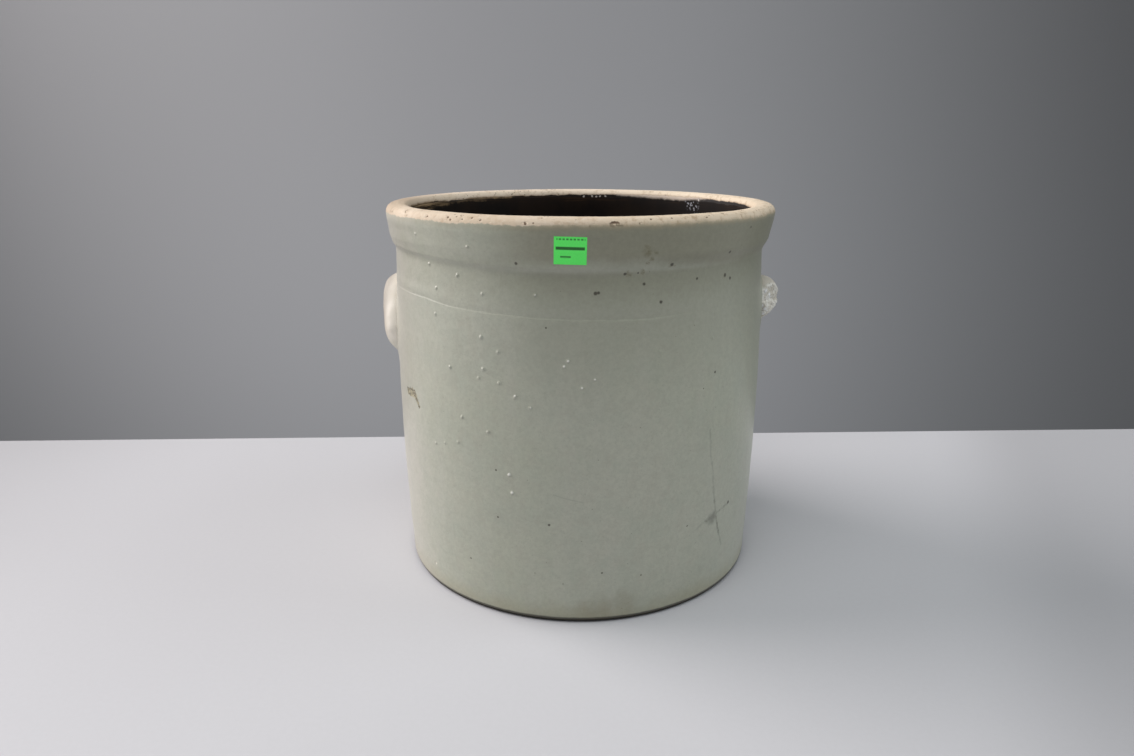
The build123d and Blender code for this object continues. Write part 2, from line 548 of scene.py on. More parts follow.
def clayTone(finish):  # colour, grain and pits of bare clay
    grain = finish.cloud(420, 4.0, rough=0.65)
    broad = finish.cloud(22, 3.0)
    colour = finish.mix(broad.fade(0.3, 0.7), clayTones["tan"], clayTones["brown"])
    colour.paint(grain.fade(0.46, 0.75) * 0.45, clayTones["sand"])
    leftEnd = finish.x.fade(-0.112, -0.142)
    colour.paint(leftEnd * 0.85, clayTones["leftEnd"])
    # painted light: lighter at the back of the rim, where the lamps leave the inner rounding in shade
    back = finish.y.fade(0.0, 0.1)
    colour.paint(back * 0.6, clayTones["back"])
    rightHalf = finish.x.fade(0.0, 0.06)
    colour.paint(rightHalf * 0.35, clayTones["right"])
    blotches = finish.cloud(170, 4.0, rough=0.7).fade(0.52, 0.66)
    mottled = rightHalf * (1 - back) * 0.4
    colour.paint(blotches * (0.45 + mottled), clayTones["blotch"])
    pits = finish.cells(330).fade(0.24, 0.12) * finish.cloud(70).fade(0.5, 0.6)
    colour.paint(pits * 0.8, clayTones["pit"])
    fine = finish.ragged(0.0016, 700)
    nicks = finish.spots(fine, rimChips, 0.6, 0.5)
    flake = union([finish.line(fine, line, 0.0013) for line in rimNick])
    colour.paint(nicks.most(flake) * 0.88, clayTones["nick"])
    return colour, grain, pits


def rimEdge(finish):  # height above the ragged edge of the glaze, which is nearer the rim top on the right
    side = finish.x.fade(-0.045, 0.03)
    edge = finish.height + (finish.cloud(200, 3.0, rough=0.65) - 0.5) * 0.0034
    edge = edge + (finish.cloud(38, 2.0) - 0.5) * 0.0026 - side * 0.0007
    return edge - (rimTop - 0.0056), side


slip = {
    "brownRuns": [(0.010, [(404, 205), (413, 202.5), (421, 201), (430, 200)]),
                  (0.008, [(428, 200), (436, 199), (446, 197.8)]),
                  (0.006, [(444, 197.6), (456, 196.6), (470, 195.8), (484, 195.2)]),
                  (0.004, [(482, 195.2), (496, 194.8), (510, 194.4)])],  # wiped thin: width and pixels
    "bareRuns": [[(470, 193.6), (486, 193.4), (500, 193.6), (516, 192.4)],
                 [(618, 192.6), (632, 193.6), (648, 194.8), (664, 196), (680, 197.6), (694, 196.6),
                  (706, 196.4)],
                 [(424, 197.4), (444, 195.6)]],  # wiped off
    "lipGlints": [(584, 196.4), (592, 196.2), (596.5, 196.8), (600, 196), (605, 196.2), (698.5, 200)],
}
brownRuns = [(width, seenEach(clayPiece, line)) for width, line in slip["brownRuns"]]
bareRuns = [seenEach(clayPiece, line) for line in slip["bareRuns"]]
slipGlints = seenEach(clayPiece, slip["lipGlints"])


slipTones = {
    "dark": (0.0085, 0.006, 0.005), "cloudy": (0.017, 0.0105, 0.007), "thin": (0.10, 0.05, 0.02),
    "brown": (0.06, 0.033, 0.015), "streak": (0.42, 0.29, 0.16), "bare": (0.78, 0.655, 0.54),
    "glintPale": (0.70, 0.64, 0.58), "bloom": (0.40, 0.40, 0.43),
}


def slipTone(finish):  # dark slip, brown in streaks where it is thin
    cloudy = finish.cloud(30, 4.0, rough=0.6)
    streaks = finish.cloud(1.0, 4.0, place=finish.stretched((26, 26, 1100)), rough=0.65)
    colour = finish.mix(cloudy.fade(0.35, 0.7), slipTones["dark"], slipTones["cloudy"])
    edge = finish.height + (finish.cloud(60, 3.0) - 0.5) * 0.012
    thin = edge.fade(rimTop - 0.013, rimTop - 0.0055)
    colour.paint(thin * streaks.fade(0.48, 0.7) * 0.4, slipTones["thin"])
    ragged = finish.ragged(0.005, 220)
    brown = union([finish.line(ragged, line, width) for width, line in brownRuns])
    brownTone = finish.mix(streaks.fade(0.4, 0.62), slipTones["brown"], slipTones["streak"])
    colour.paint(brown * (0.45 + streaks.fade(0.36, 0.6) * 0.55), brownTone)
    torn = finish.ragged(0.0022, 300)
    bare = union([finish.line(torn, line, 0.0036) for line in bareRuns])
    colour.paint(bare * 0.92, slipTones["bare"])
    # painted highlights: pale spots where the dark slip glints just under the lip
    lipGlints = union([finish.spot(torn, place, 0.0005, 0.0007) for place in slipGlints])
    colour.paint(lipGlints * 0.9, slipTones["glintPale"])
    return colour


def bareClay():
    finish = Finish("bare_clay")
    height = finish.height
    colour, grain, pits = clayTone(finish)
    grime = finish.cloud(70, 4.0, rough=0.7).fade(0.52, 0.72) * finish.cloud(14).fade(0.4, 0.62)
    colour.paint(grime * 0.5, clayTones["grime"])

    level = finish.vector("MULTIPLY", finish.place, (1, 1, 0))
    radius = finish.vector("DISTANCE", level, (0, 0, 0), outlet=1)
    inside = radius.fade(0.1385, 0.1365)
    above, side = rimEdge(finish)
    washed = above.fade(0.0014, -0.0016) * radius.fade(0.1385, 0.1405)  # very thin glaze, a tan wash
    colour.paint(washed * (0.2 + side * 0.45), clayTones["wash"])
    lip = height + (finish.cloud(110, 4.0, rough=0.7) - 0.5) * 0.0034 + (finish.cloud(20) - 0.5) * 0.004
    brown = lip.fade(rimTop - 0.0042, rimTop - 0.0056) * inside  # slip wiped thin over the inner edge
    colour.paint(brown * 0.5, clayTones["slipEdge"])
    dark = lip.fade(rimTop - 0.0053, rimTop - 0.0058) * inside
    colour.paint(dark, slipTone(finish))

    underneath = height.fade(0.0014, 0.0004)
    colour.paint(underneath * (0.45 + grime * 0.4), clayTones["underneath"])
    foot = height.fade(0.0055, 0.002) * radius.fade(0.122, 0.136)  # painted shadow: near black where the gap under the rounded foot lies in shade
    colour.paint(foot * 0.97, clayTones["foot"])
    relief = grain * 0.5 + pits * -1.0 + finish.cloud(1300, 2.0) * 0.35
    return finish.surface({
        "Base Color": colour,
        "Roughness": 0.72 + grain * 0.2 - dark * 0.25,
        "Normal": finish.bump(relief, 0.0004, 0.8),
        "Specular IOR Level": 0.35,
    })


dress(clayPiece, "crock_body", bareClay())


# pale glaze outside

paleGlaze = {
    "steps": 360,
    "coat": 0.0006,
    "foot": 0.003, "top": 0.0034,  # bare clay below it, and above it down from the rim top
    "feather": 0.0075,  # the coat thins out over this height
    "toolLine": 0.2187, "toolDepth": 0.00017,  # a line scored all round
    "toolHollow": 0.0032, "toolLedge": 0.0008,  # how far it runs above the line, and below
    "toolReach": 0.016, "toolEnd": 0.3,  # what rises with it, and the angle over which it dies out
    "toolPath": [(401, 287), (425, 297), (450, 306), (490, 313), (530, 317.5), (570, 320), (620, 320),
                 (645, 319)],
    "rings": 0.00007, "ringStep": 0.011,  # throwing rings
    "lumps": 0.00018,
    "lugFillet": 0.007, "lugSwell": 0.0012, "runDown": 0.6,  # the glaze ran down from the lugs
    "endFade": 0.01,  # relief dies out over this height at the ends of the coat
    "blisterHeight": 0.0009, "blisterRadius": 0.0015,
    "blisters": [(415, 234, 0.6), (467, 247, 0.8), (429, 264, 0.8), (457, 275.5, 1.1), (436, 288, 0.8),
                 (482, 294, 0.8), (535, 295, 0.8), (435, 314, 0.9), (481, 337, 1.2), (498, 352, 0.8),
                 (450, 367, 1.2), (483, 369, 1.1), (478.5, 378, 0.8), (499, 383, 0.95), (515, 397, 1.1),
                 (530, 408, 0.9), (462, 417, 1.1), (488, 432, 1.2), (436, 443, 0.8), (445, 443, 0.7),
                 (458, 442, 0.7), (509, 475, 1.3), (512, 493, 1.3), (568, 361, 1.2), (564, 367, 0.9),
                 (595, 379.5, 0.9), (582, 388, 1.0), (660, 352, 0.6), (713, 338, 0.6)],  # share of height
    "unseenBlisters": 26, "seed": 11,  # on the sides and back
    "unseenAngles": (5, 175), "unseenHeights": (0.03, 0.27, 0.19),  # low, high and most often
    "markReach": 0.0036,  # finer faces round the marks
    "scar": [(408.4, 391, 0.0030), (410.2, 391.5, 0.0036), (412.2, 392, 0.0036), (414, 393.5, 0.0032),
             (415.4, 396.5, 0.0026), (416.6, 400, 0.0020), (417.8, 403.5, 0.0016), (419, 407, 0.0013)],
    "scarDepth": 0.0005,  # the scar is given by pixels and radii
    "paleChip": (436, 563), "chipRadius": 0.0014, "chipDepth": 0.0004,
}


def glazeOutline(settings):
    coat = settings["coat"]
    low = settings["foot"]
    high = rimTop - settings["top"]
    feather = settings["feather"]
    tool = settings["toolLine"]
    heights = evenly(low + 0.0012, tool - 0.003, 0.0024)
    heights += evenly(tool - 0.0016, tool + 0.0016, 0.0004)  # fine at the tool line
    heights += evenly(tool + 0.0026, 0.242, 0.0024)
    heights += evenly(0.2435, 0.2625, 0.001)  # step under the collar
    heights += evenly(0.264, high - feather, 0.0014)
    outer = [(thrownAt(z) + coat, z) for z in heights]
    bottom = outsideAt(low + 0.001)
    bottomEdge = [(bottom - 0.0001, low), (bottom + coat * 0.55, low + 0.0001)]
    bottomEdge.append((bottom + coat * 0.9, low + 0.0005))
    for z in evenly(high - feather, high, 0.0009)[1:]:
        share = ((high - z) / feather) ** 0.7
        outer.append((outsideAt(z) + coat * share - 0.0002 * (1 - share), z))
    inner = [(thrownAt(z) - 0.0006, z) for z in evenly(high - 0.003, low + 0.003, 0.006)]
    return bottomEdge + outer + inner + bottomEdge[:1]


def scoreLine(piece, settings):  # the tool line, which wanders up to the left and dies out at the right
    path = seenEach(piece, settings["toolPath"])
    path = sorted((bearing(place)[0], place.z - settings["toolLine"]) for place in path)
    (left, leftRise), (right, rightRise) = path[0], path[-1]

    def scored(vertex):
        co = vertex.co
        around, out = bearing(co)
        if around < left:
            share = (around + math.pi) / (left + math.pi)
            rise, depth = leftRise * share, 0.7 * share
        elif around > right:
            share = max(0.0, 1 - (around - right) / settings["toolEnd"])
            rise, depth = rightRise * share, 0.1 + 1.7 * share
        else:
            depth = 1 + 0.8 * (around - left) / (right - left)
            for (here, riseHere), (there, riseThere) in zip(path, path[1:]):
                if here <= around <= there:
                    rise = riseHere + (riseThere - riseHere) * (around - here) / (there - here)
        above = co.z - settings["toolLine"]
        away = above / settings["toolHollow"] if above > 0 else -above / settings["toolLedge"]
        dip = settings["toolDepth"] * depth * max(0.0, 1 - away)
        return co - out * dip + Vector((0, 0, rise * hump(above / settings["toolReach"]) ** 2))

    moveEach(piece, scored)


def makePaleGlaze(settings):
    piece = turnOnWheel("outer_glaze_coat", glazeOutline(settings), settings["steps"])
    moveEach(piece, sway)
    scoreLine(piece, settings)
    tallest = settings["blisterHeight"]
    blisters = [(place, tallest * share) for place, share in seenMarks(piece, settings["blisters"])]
    marks = random.Random(settings["seed"])
    for i in range(settings["unseenBlisters"]):
        angle = marks.uniform(*[math.radians(a) for a in settings["unseenAngles"]])
        z = marks.triangular(*settings["unseenHeights"])
        r = outsideAt(z) + settings["coat"] - 0.0002
        place = Vector((r * math.cos(angle), r * math.sin(angle), z))
        blisters.append((place, tallest * marks.uniform(0.4, 0.9)))
    scar = seenMarks(piece, settings["scar"])
    paleChip = seenOn(piece, settings["paleChip"])
    refineNear(piece, [place for place, size in blisters + scar] + [paleChip], settings["markReach"], 3)
    return piece, blisters, scar, paleChip


glazePiece, blisters, wallScar, paleChip = makePaleGlaze(paleGlaze)
print("pale glaze turned,", len(blisters), "blisters placed")


# lug handles, from their CAD nodes

lugs = {
    "voxel": {"left_lug": 0.0008, "right_lug": 0.0005},
    "smooth": 6,
    "lumps": 0.0005, "lumpSize": 0.011,
    "breakRough": 0.0012, "breakGrain": 0.0062,
    "breakLip": 0.2005, "lipReach": 0.0046,  # the broken face stands out furthest at this height
    "lipHeight": 0.007, "lipDepth": 0.01,
    "root": 0.0012, "seat": 0.0008,  # how far the seat goes into the wall, and what counts as seat
    "seatTop": 0.24,  # up to the collar
    "breakFrom": 0.004, "breakSoft": 0.0025,  # depth of the rough face, and of its edge
}


def makeLug(name, node, settings):
    fresh()
    piece = cad[node].copy()
    piece.data = cad[node].data.copy()
    for key in list(piece.keys()):
        del piece[key]
    piece.parent = None
    piece.name = piece.data.name = name
    bpy.context.collection.objects.link(piece)
    mergeClose(piece)
    editing(False)
    modify(piece, "even faces", "REMESH", {"mode": "VOXEL", "voxel_size": settings["voxel"][node]})
    modify(piece, "softened", "SMOOTH", {"factor": 0.5, "iterations": settings["smooth"]})
    bpy.ops.object.shade_smooth()
    return piece


def seatLug(piece, settings):  # lumps by hand, and the seat pressed into the wall
    def seated(vertex):
        co = vertex.co
        lump = noise.noise(co / settings["lumpSize"]) - 0.6
        moved = co + vertex.normal * (settings["lumps"] * lump)
        if co.xy.length - outsideAt(min(co.z, settings["seatTop"])) < settings["seat"]:
            moved -= bearing(co)[1] * settings["root"]
        return moved

    moveEach(piece, seated)


def breakLug(piece, settings):  # rough, scooped face where the front arm came away
    flat = max(cad["right_lug"].data.polygons, key=lambda face: face.area)
    facing, middle = flat.normal.copy(), flat.center.copy()
    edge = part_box("right_lug")[1].x - 0.0002

    def broken(vertex):
        co, normal = vertex.co, vertex.normal
        out = bearing(co)[1]
        behind = (middle - co).dot(facing)
        lip = hump((co.z - settings["breakLip"]) / settings["lipHeight"])
        lip = clamp(lip * max(0.0, 1 - behind / settings["lipDepth"]))
        share = clamp((settings["breakFrom"] - behind) / settings["breakSoft"])
        share *= clamp(normal.dot(facing) * 2)
        scoops = noise.voronoi(co / settings["breakGrain"])[0][0] - 0.75 + 0.5 * noise.noise(co * 900)
        moved = co + out * (settings["lipReach"] * lip * max(0.0, normal.dot(out)))
        moved += facing * (settings["breakRough"] * scoops * share)
        moved.x = min(moved.x, edge)
        return moved

    moveEach(piece, broken)
    return middle, facing


leftLug = makeLug("left_lug_roll", "left_lug", lugs)
rightLug = makeLug("right_lug_stump", "right_lug", lugs)
seatLug(leftLug, lugs)
seatLug(rightLug, lugs)
breakMiddle, breakFacing = breakLug(rightLug, lugs)
print("lugs pressed on")


# the glaze takes its relief once the lugs are there to run up against

def refineNearLugs(piece, boxes, margin):  # on the outside only
    def nearLug(face):
        middle = face.calc_center_median()
        if face.normal.dot(bearing(middle)[1]) < 0:
            return False
        return any(inBox(middle, box, margin) for box in boxes)

    refine(piece, nearLug, 1)


def reliefOfGlaze(piece, settings, lugPieces):
    margin = settings["lugFillet"]
    boxes = [boxOf(lug) for lug in lugPieces]
    refineNearLugs(piece, boxes, margin * 1.5)
    bumps = treeOf([place for place, height in blisters])
    top = rimTop - settings["top"]

    def raised(vertex):
        co = vertex.co
        around, out = bearing(co)
        if vertex.normal.dot(out) < 0:
            return co.copy()  # hidden side of the coat
        inside = clamp(min(co.z - settings["foot"], top - co.z) / settings["endFade"])
        ring = math.sin(fullTurn * co.z / settings["ringStep"] + around)
        ring *= 0.6 + 0.8 * noise.noise(Vector((out.x * 2, out.y * 2, co.z * 30)))
        grow = inside * settings["rings"] * (ring - 1)
        grow += inside * settings["lumps"] * (noise.noise(co * 45) - 0.7)
        place, index, gap = bumps.find(co)
        grow += blisters[index][1] * hump(gap / settings["blisterRadius"]) ** 2
        rough = 1 + noise.noise(co * 900)
        for middle, radius in wallScar:
            grow -= settings["scarDepth"] * hump((co - middle).length / radius) * rough
        grow -= settings["chipDepth"] * hump((co - paleChip).length / settings["chipRadius"])
        for lug, box in zip(lugPieces, boxes):
            if inBox(co, box, margin * 1.7):
                nearest = lug.closest_point_on_mesh(co)[1]
                gap = (co - nearest).length * (settings["runDown"] if co.z < nearest.z else 1)
                grow += settings["lugSwell"] * max(0.0, 1 - gap / margin) ** 2
        return co + out * grow

    moveEach(piece, raised)


reliefOfGlaze(glazePiece, paleGlaze, [leftLug, rightLug])
print("glaze run up against the lugs")


glazeMarks = {
    "ironSpecks": [(516, 263.5, 0.0010), (595.5, 293.5, 0.0012), (598.5, 293, 0.0010), (661, 302, 0.0011),
                   (644, 284, 0.0010), (625, 274, 0.0010), (638, 273, 0.0006), (672, 264.5, 0.0012),
                   (730, 252, 0.0011), (725, 275, 0.0012), (730, 278, 0.0011), (697, 278.5, 0.0009),
                   (715, 372, 0.0009), (546, 328, 0.0006), (498, 517, 0.0007), (549, 525, 0.0009),
                   (496, 470, 0.0007), (471, 558, 0.0007), (687, 526, 0.0006), (728, 502, 0.0013),
                   (602, 573, 0.0007), (641, 575, 0.0006), (751, 227, 0.0008), (703.5, 388.5, 0.0005),
                   (535, 573, 0.0004), (563, 584, 0.0004)],  # pixel and radius
    "blisterGlints": [(568.3, 361.5, 0.0012), (564, 366.3, 0.0010), (582, 388.3, 0.0011), (595, 379.7, 0.0009),
              (514.8, 395.8, 0.0008), (530.5, 407.6, 0.0007), (509, 474.5, 0.0014), (512, 492.6, 0.0013),
              (535, 295, 0.0006)],  # painted highlights: pale glints on the tops of blisters
    "smudges": [(647.5, 251.5, 0.0026), (656, 252, 0.0012), (652, 259, 0.0014), (648, 263.5, 0.0011),
                (643, 272, 0.0013), (629, 274, 0.0014), (672, 265, 0.0014), (725, 275, 0.0013)],
    "cracks": [(0.38, [(710, 430), (710.8, 443), (710.6, 453), (712, 463), (713, 475), (713.3, 487)]),
               (0.75, [(713.3, 487), (713.8, 495), (715, 507), (715.8, 513), (716.2, 520)]),
               (1.0, [(716.2, 520), (717.3, 527), (718.6, 534)]),
               (0.35, [(718.6, 534), (720.8, 544)]),
               (0.25, [(690, 535), (704, 522), (711, 518)]),
               (0.5, [(711, 518), (715.8, 513), (722, 508), (728, 502.5)])],  # strength and pixels
    "crackSmudge": [(711.3, 518.6, 0.0028), (713.8, 516, 0.0023), (706.8, 521, 0.0015)],
    "scratch": [(553, 495), (568, 499.5), (584, 503)],
    "footStain": [(602, 608), (624, 602), (590, 611)],
}


glazeTones = {  # dull and clear are shares of the colour so far
    "green": (0.438, 0.455, 0.358), "paler": (0.458, 0.468, 0.382), "cloud": (0.400, 0.430, 0.350),
    "run": (0.49, 0.49, 0.415), "patch": (0.41, 0.40, 0.325), "grain": (0.30, 0.305, 0.245),
    "dust": (0.20, 0.19, 0.14), "low": (0.335, 0.31, 0.20), "footShadowLine": (0.03, 0.03, 0.024),
    "shadeBelowCollar": (0.345, 0.352, 0.278), "collar": (0.262, 0.256, 0.184), "shadowUnderStep": (0.26, 0.262, 0.19),
    "left": (0.53, 0.475, 0.43), "dull": (0.975, 0.97, 0.97), "clear": (1.075, 1.07, 1.07),
    "thin": (0.37, 0.31, 0.205), "footStain": (0.22, 0.165, 0.085), "smudge": (0.15, 0.13, 0.06),
    "scarDark": (0.065, 0.055, 0.027), "scarPale": (0.36, 0.315, 0.19),
    "scarHeart": (0.46, 0.42, 0.30), "chip": (0.72, 0.69, 0.60), "crack": (0.085, 0.085, 0.065),
    "scratch": (0.24, 0.24, 0.2), "speck": (0.045, 0.035, 0.022), "blisterGlints": (0.92, 0.91, 0.84),
}


def paleGlazeFinish(piece, marks):
    finish = Finish("pale_glaze")
    height = finish.height
    broad = finish.cloud(9, 2.0)
    middling = finish.cloud(42, 4.0, rough=0.6)
    patches = finish.cloud(120, 3.0, rough=0.6)
    runs = finish.cloud(1.0, 3.0, place=finish.stretched((75, 75, 7)))
    grain = finish.cloud(900, 2.0)
    colour = finish.mix(broad.fade(0.32, 0.68), glazeTones["green"], glazeTones["paler"])
    colour.paint(middling.fade(0.35, 0.72) * 0.5, glazeTones["cloud"])
    colour.paint(runs.fade(0.45, 0.75) * 0.3, glazeTones["run"])
    colour.paint(patches.fade(0.45, 0.7) * 0.35, glazeTones["patch"])
    colour.paint(grain.fade(0.5, 0.85) * 0.4, glazeTones["grain"])
    dust = finish.cells(560).fade(0.2, 0.1) * finish.cells(560, outlet=1).fade(0.45, 0.8)
    colour.paint(dust * 0.3, glazeTones["dust"])

    low = (height + (middling - 0.5) * 0.018).fade(0.02, 0.002)  # warmer just above the foot
    colour.paint(low * 0.5, glazeTones["low"])
    # painted shadow: a near black line at the bottom of the glaze, for the shade under the rounded foot
    footShadowLine = (height + (patches - 0.5) * 0.001).fade(0.0050, 0.0038)
    colour.paint(footShadowLine * 0.85, glazeTones["footShadowLine"])
    front = finish.x.fade(-0.058, -0.004)  # front and right
    shadeBelowCollar = (height + (broad - 0.5) * 0.06).fade(0.145, 0.225) * front  # painted shade: greyer and darker on the front and right below the collar, where its overhang keeps off the light from above
    colour.paint(shadeBelowCollar * 0.7, glazeTones["shadeBelowCollar"])
    rightEnd = finish.x.fade(0.05, 0.105)
    collarHeight = height + (middling - 0.5) * 0.006 + rightEnd * 0.0065
    collar = collarHeight.fade(0.248, 0.258)  # thinner and more olive on the collar, and darker: partly the glaze's own tone, partly painted shade where the leaning face turns down
    colour.paint(collar * (0.12 + front * 0.72), glazeTones["collar"])
    shadowUnderStep = (height + (patches - 0.5) * 0.004).fade(0.2185, 0.244)  # painted shadow under the step, cast by the collar's overhang
    leftEnd = height.fade(0.2585, 0.2515)
    shadowUnderStep = shadowUnderStep * (leftEnd + (height.fade(0.2485, 0.2455) - leftEnd) * front)
    colour.paint(shadowUnderStep * (0.25 + front * 0.37), glazeTones["shadowUnderStep"])
    above, side = rimEdge(finish)
    litLeft = (finish.x + (patches - 0.5) * 0.06).fade(-0.085, -0.135)  # painted light: lighter and pinker on the left, where the pinkish key light falls
    colour.paint(litLeft * 0.4, glazeTones["left"])
    mottle = finish.cloud(330, 4.0, rough=0.7)
    dull = finish.vector("MULTIPLY", colour, glazeTones["dull"])
    clear = finish.vector("MULTIPLY", colour, glazeTones["clear"])
    colour = finish.mix(mottle.fade(0.3, 0.7), dull, clear)
    clay, _, pits = clayTone(finish)
    thin = above.fade(-0.0046, -0.0006)  # thin glaze below the bare rim
    colour.paint(thin * (0.25 + side * 0.5), glazeTones["thin"])
    crisp = above.fade(-0.0006, 0.0004)
    bare = crisp + (above.fade(-0.0024, 0.0018) - crisp) * side  # its edge is softer on the right
    colour.paint(bare, clay)
    fine = finish.ragged(0.0007, 900)
    blurred = finish.ragged(0.012, 130)
    stains = [finish.spot(blurred, seenOn(piece, pixel), 0.002, 0.012) for pixel in marks["footStain"]]
    colour.paint(union(stains) * 0.26, glazeTones["footStain"])
    smeared = finish.ragged(0.006, 260)
    smudges = finish.spots(smeared, seenMarks(piece, marks["smudges"]), 0.4, 1.3)
    blotched = finish.cloud(620, 3.0, rough=0.65).fade(0.38, 0.62)
    colour.paint(smudges * (0.18 + blotched * 0.45), glazeTones["smudge"])

    torn = finish.ragged(0.0034, 330)
    scarMask = finish.spots(torn, wallScar, 0.8, 0.35)
    scarHeart = finish.spots(torn, wallScar, 0.2, 0.4)
    burnt = finish.cloud(500, 3.0).fade(0.4, 0.6)
    scarTone = finish.mix(burnt, glazeTones["scarDark"], glazeTones["scarPale"])
    colour.paint(scarMask * 0.85, scarTone)
    colour.paint(scarHeart * 0.5, glazeTones["scarHeart"])
    chipMask = finish.spot(fine, paleChip, 0.0008, 0.0006)
    colour.paint(chipMask, glazeTones["chip"])

    wavering = finish.ragged(0.0022, 300)
    broken = 0.4 + finish.cloud(240, 2.0).fade(0.35, 0.6) * 0.6
    cracks = []
    for share, pixels in marks["cracks"]:
        cracks.append(finish.line(wavering, seenEach(piece, pixels), 0.0014) * share)
    cracks = union(cracks) * broken
    smear = finish.spots(smeared, seenMarks(piece, marks["crackSmudge"]), 0.4, 2)
    colour.paint(cracks.most(smear * 0.85) * 0.62, glazeTones["crack"])
    scratch = finish.line(finish.place, seenEach(piece, marks["scratch"]), 0.0006)
    colour.paint(scratch * 0.28, glazeTones["scratch"])

    specks = finish.spots(fine, seenMarks(piece, marks["ironSpecks"]), 0.55, 0.8)
    scatter = finish.cells(150).fade(0.085, 0.04) * finish.cells(150, outlet=1)
    scatter = scatter.fade(0.3, 0.9)
    specks = specks.most(scatter * 0.55)
    colour.paint(specks * 0.86, glazeTones["speck"])

    blisterGlints = finish.spots(fine, seenMarks(piece, marks["blisterGlints"]), 0.35, 0.75)
    colour.paint(blisterGlints * 0.75, glazeTones["blisterGlints"])

    peel = finish.cloud(260, 2.0)
    relief = peel * 0.5 + grain * 0.14 - cracks * 0.5 - specks * 0.3 - scratch * 0.25 - pits * bare
    gloss = 0.34 + middling * 0.1 + grain.fade(0.55, 0.8) * 0.06 + scarMask * 0.3 + cracks * 0.2
    return finish.surface({
        "Base Color": colour,
        "Roughness": gloss + low * 0.12 + thin * 0.35 + bare * 0.2,
        "Normal": finish.bump(relief, 0.0004, 0.35),
        "Coat Roughness": 0.24,
        "Coat Weight": (1.0 - thin) * 0.22,
    })


dress(glazePiece, "outer_glaze", paleGlazeFinish(glazePiece, glazeMarks))


# dark slip inside

darkLining = {
    "steps": 288,
    "coat": 0.0005,
    "top": 0.0060,  # bare lip above it
    "floorCorner": 0.018,
    "edgeWave": 0.0009,
    "rings": 0.00005, "ringStep": 0.014, "ringFade": 0.02,
    "ringsAbove": 0.05, "edge": 0.006,  # no rings on the floor; the edge that waves
}


def liningOutline(settings):
    coat = settings["coat"]
    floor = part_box("inner_glaze")[0].z
    corner = settings["floorCorner"] - coat
    high = rimTop - settings["top"]
    wallFoot = insideAt(floor + corner + 0.005)
    seat = [(0.0, floor - 0.0003), (0.06, floor - 0.0003)]
    seat += arcPoints((wallFoot - corner, floor + corner), corner + coat + 0.0003, -90, 0, 6)
    seat += [(insideAt(z) + 0.0003, z) for z in evenly(floor + corner + 0.006, high - 0.006, 0.012)]
    mouth = insideAt(high - 0.003)
    topEdge = [(mouth + 0.0006, high + 0.0003), (mouth + 0.0001, high - 0.0004)]
    for share, down in ((0.3, 0.0016), (0.65, 0.0034), (0.9, 0.0055)):
        topEdge.append((mouth - coat * share, high - down))
    wall = [(insideAt(z) - coat, z) for z in evenly(high - 0.0075, high - 0.032, 0.0014)]
    wall += [(insideAt(z) - coat, z) for z in evenly(high - 0.035, floor + corner + 0.005, 0.004)]
    floorRun = arcPoints((wallFoot - corner - coat, floor + coat + corner), corner, 0, -90, 10)
    floorRun += [(r, floor + coat) for r in evenly(wallFoot - corner - 0.006, 0.0, 0.012)]
    return seat + topEdge + wall + floorRun


def makeDarkLining(settings):
    piece = turnOnWheel("inner_glaze_slip", liningOutline(settings), settings["steps"])
    moveEach(piece, sway)
    high = rimTop - settings["top"]

    def uneven(vertex):
        co = vertex.co
        around, out = bearing(co)
        share = clamp((high - co.z) / settings["ringFade"]) if co.z > settings["ringsAbove"] else 0.0
        ring = math.sin(fullTurn * co.z / settings["ringStep"] + around) - 1
        moved = co - out * (settings["rings"] * ring * share)
        if co.z > high - settings["edge"]:
            wave = noise.noise(Vector((out.x * 5, out.y * 5, 7.0))) + 0.6 * noise.noise(out * 17) - 0.4
            moved.z += settings["edgeWave"] * wave
        return moved

    moveEach(piece, uneven)
    return piece


liningPiece = makeDarkLining(darkLining)
print("lining poured")

liningMarks = {
    "paleBloom": [(692, 205), (689, 202), (695, 208)],
}


def darkSlip(piece, marks):  # marks are found on the wall that the slip covers
    finish = Finish("dark_slip")
    cloudy = finish.cloud(30, 4.0, rough=0.6)
    colour = slipTone(finish)
    ragged = finish.ragged(0.005, 220)
    mottle = finish.cells(420).fade(0.45, 0.25)
    bloom = [finish.spot(ragged, place, 0.0015, 0.005) for place in seenEach(piece, marks["paleBloom"])]
    colour.paint(union(bloom) * mottle * 0.7, slipTones["bloom"])
    matt = finish.height.fade(rimTop - 0.045, rimTop - 0.02)  # wiped duller near the lip
    relief = cloudy * 0.4 + finish.cloud(350, 2.0) * 0.2
    return finish.surface({
        "Base Color": colour,
        "Roughness": 0.34 + cloudy * 0.16 + matt * 0.36,
        "Normal": finish.bump(relief, 0.0005, 0.4),
        "Specular IOR Level": 0.13,
    })


dress(liningPiece, "inner_glaze", darkSlip(clayPiece, liningMarks))


# lug finishes

lugTones = {
    "cream": (0.82, 0.765, 0.67), "greyer": (0.77, 0.71, 0.605), "grain": (0.58, 0.52, 0.42),
    "keySideDarkened": (0.40, 0.36, 0.30), "tips": (0.46, 0.455, 0.375), "speck": (0.2, 0.15, 0.09),
}


